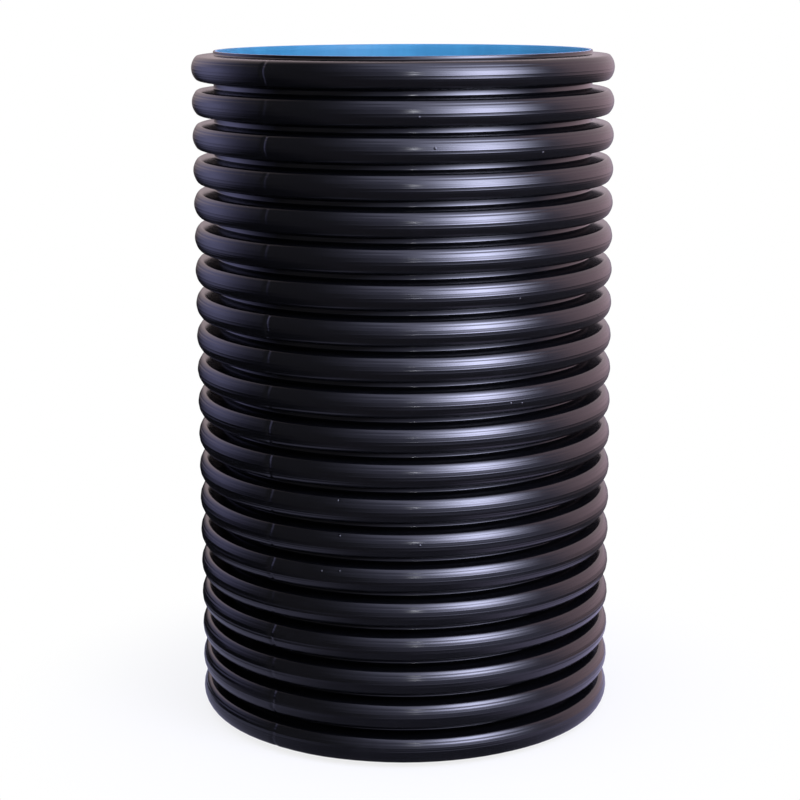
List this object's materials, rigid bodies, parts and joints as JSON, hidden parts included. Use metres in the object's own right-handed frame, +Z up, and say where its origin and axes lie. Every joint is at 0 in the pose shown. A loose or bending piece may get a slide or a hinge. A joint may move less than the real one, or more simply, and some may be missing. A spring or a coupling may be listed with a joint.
{
  "type": "corrugated formwork pipe",
  "caption": "Short corrugated twin-wall formwork pipe with hollow rounded ribs outside, a smooth liner inside and both ends cut square in a valley.",
  "frame": {"origin": "centre of the lower cut end, on the pipe's axis", "axes": "+Z up along the pipe's axis; the pipe stands on its end, and it is round, so +X and +Y are free"},
  "size_m": [0.569, 0.569, 0.908],
  "materials": {
    "black_outer_wall": "glossy black polypropylene, as extruded and formed",
    "blue_liner": "smooth satin light blue polypropylene"
  },
  "bodies": {
    "root": {"corrugated_outer_wall": "black_outer_wall", "smooth_inner_liner": "blue_liner"}
  },
  "joints": []
}
